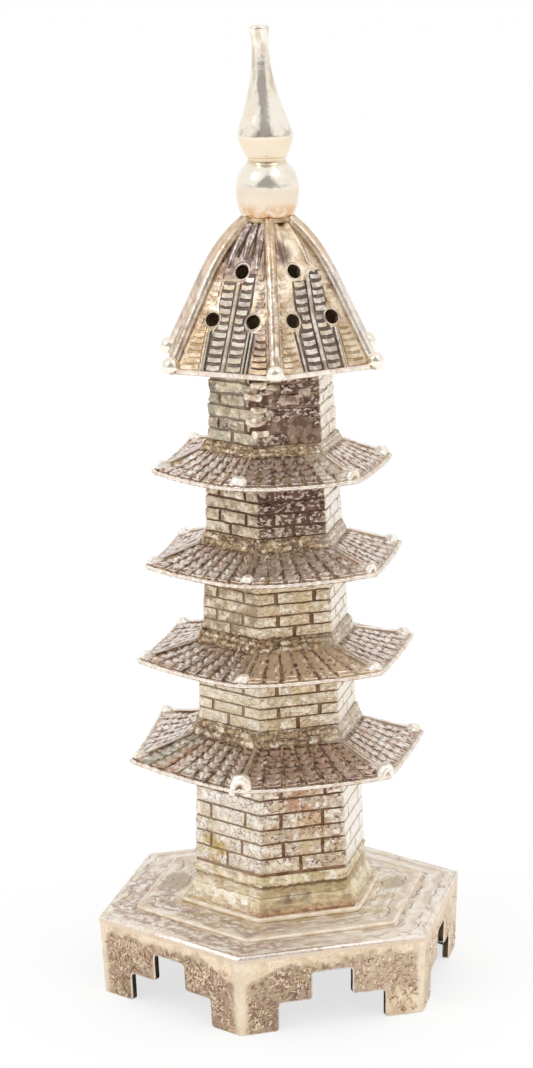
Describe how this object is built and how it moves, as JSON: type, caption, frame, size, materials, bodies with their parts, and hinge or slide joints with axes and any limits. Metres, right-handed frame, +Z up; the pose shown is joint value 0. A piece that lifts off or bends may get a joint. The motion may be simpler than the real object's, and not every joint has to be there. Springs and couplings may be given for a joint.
{
  "type": "pagoda shaker",
  "caption": "Hexagonal pagoda-shaped table shaker: hollow brick tower with tiled eaves on a footed base, and a pierced roof cap that turns and pulls off.",
  "frame": {"origin": "on the ground that the feet stand on, in the middle of the six feet, on the tower's axis", "axes": "+Z up along the tower's axis; a corner of the tower and of the base faces -Y"},
  "size_m": [0.0346, 0.04, 0.1],
  "materials": {
    "base_silver": "worn silver, mottled with tarnish",
    "wall_silver": "chased brickwork, warm silver with dark joints",
    "tile_silver": "chased tiles, oxidised dark",
    "roof_silver": "chased tiles, oxidised in the hollows",
    "bright_silver": "polished",
    "inner_silver": "plain, unpolished"
  },
  "bodies": {
    "tower": {"base_apron": "base_silver", "base_deck": "base_silver", "base_step_lower": "base_silver", "base_step_upper": "base_silver", "tower_plinth": "wall_silver", "storey_1": "wall_silver", "storey_2": "wall_silver", "storey_3": "wall_silver", "storey_4": "wall_silver", "storey_5": "wall_silver", "eave_1": "tile_silver", "eave_2": "tile_silver", "eave_3": "tile_silver", "eave_4": "tile_silver", "eave_1_knob_1": "bright_silver", "eave_1_knob_2": "bright_silver", "eave_1_knob_3": "bright_silver", "eave_1_knob_4": "bright_silver", "eave_1_knob_5": "bright_silver", "eave_1_knob_6": "bright_silver", "eave_2_knob_1": "bright_silver", "eave_2_knob_2": "bright_silver", "eave_2_knob_3": "bright_silver", "eave_2_knob_4": "bright_silver", "eave_2_knob_5": "bright_silver", "eave_2_knob_6": "bright_silver", "eave_3_knob_1": "bright_silver", "eave_3_knob_2": "bright_silver", "eave_3_knob_3": "bright_silver", "eave_3_knob_4": "bright_silver", "eave_3_knob_5": "bright_silver", "eave_3_knob_6": "bright_silver", "eave_4_knob_1": "bright_silver", "eave_4_knob_2": "bright_silver", "eave_4_knob_3": "bright_silver", "eave_4_knob_4": "bright_silver", "eave_4_knob_5": "bright_silver", "eave_4_knob_6": "bright_silver", "mouth_ring": "inner_silver"},
    "collar": {"cap_collar": "inner_silver"},
    "cap": {"cap_plate": "inner_silver", "roof_shell": "roof_silver", "roof_rib_1": "bright_silver", "roof_rib_2": "bright_silver", "roof_rib_3": "bright_silver", "roof_rib_4": "bright_silver", "roof_rib_5": "bright_silver", "roof_rib_6": "bright_silver", "roof_ball_1": "bright_silver", "roof_ball_2": "bright_silver", "roof_ball_3": "bright_silver", "roof_ball_4": "bright_silver", "roof_ball_5": "bright_silver", "roof_ball_6": "bright_silver", "finial_ball": "bright_silver", "finial_spire": "bright_silver", "finial_nut": "inner_silver"}
  },
  "joints": [
    {"name": "cap_lift", "type": "slide", "parent": "tower", "child": "collar", "axis": [0, 0, 1], "range_m": [0, 0.025]},
    {"name": "cap_turn", "type": "hinge", "parent": "collar", "child": "cap", "pos_m": [0, 0, 0.0659], "axis": [0, 0, 1], "continuous": true}
  ]
}
